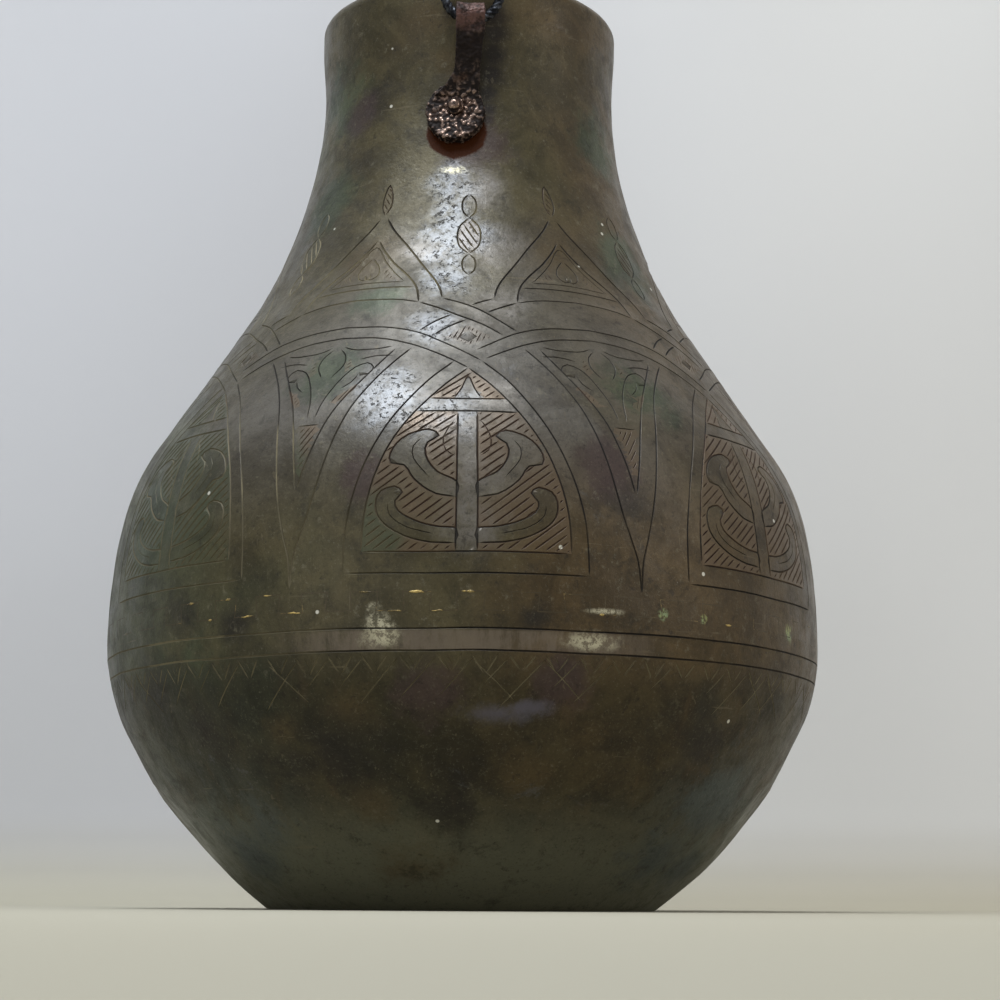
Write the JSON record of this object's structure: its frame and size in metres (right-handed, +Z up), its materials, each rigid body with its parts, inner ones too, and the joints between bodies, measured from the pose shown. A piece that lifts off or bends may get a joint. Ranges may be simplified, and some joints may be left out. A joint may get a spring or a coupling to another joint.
{
  "type": "water pot",
  "caption": "Pear-shaped beaten copper water pot with a flat base, a wide rolled mouth and a swinging iron bail handle.",
  "frame": {"origin": "middle of the flat base, on the surface the pot stands on", "axes": "+Z up through the mouth; the two lugs are on -Y (front) and +Y (rear), and the bail swings about the Y direction"},
  "size_m": [0.301, 0.301, 0.4756],
  "materials": {
    "copper": "beaten copper under a dark olive-brown patina, semi-gloss, with worn tinned patches",
    "rusted_iron": "forged iron, deeply rusted, rough with glints",
    "black_iron": "twisted iron bar, blackened, semi-gloss"
  },
  "bodies": {
    "vessel": {"lower_bowl": "copper", "upper_body": "copper", "rim_wire": "rusted_iron", "lug_front": "rusted_iron", "rivet_front": "rusted_iron", "rove_front": "copper", "lug_rear": "rusted_iron", "rivet_rear": "rusted_iron", "rove_rear": "copper"},
    "bail": {"bail": "black_iron"}
  },
  "joints": [
    {"name": "bail_swing", "type": "hinge", "parent": "vessel", "child": "bail", "pos_m": [0, 0, 0.378], "axis": [0, 1, 0], "range_deg": [-115, 115]}
  ]
}
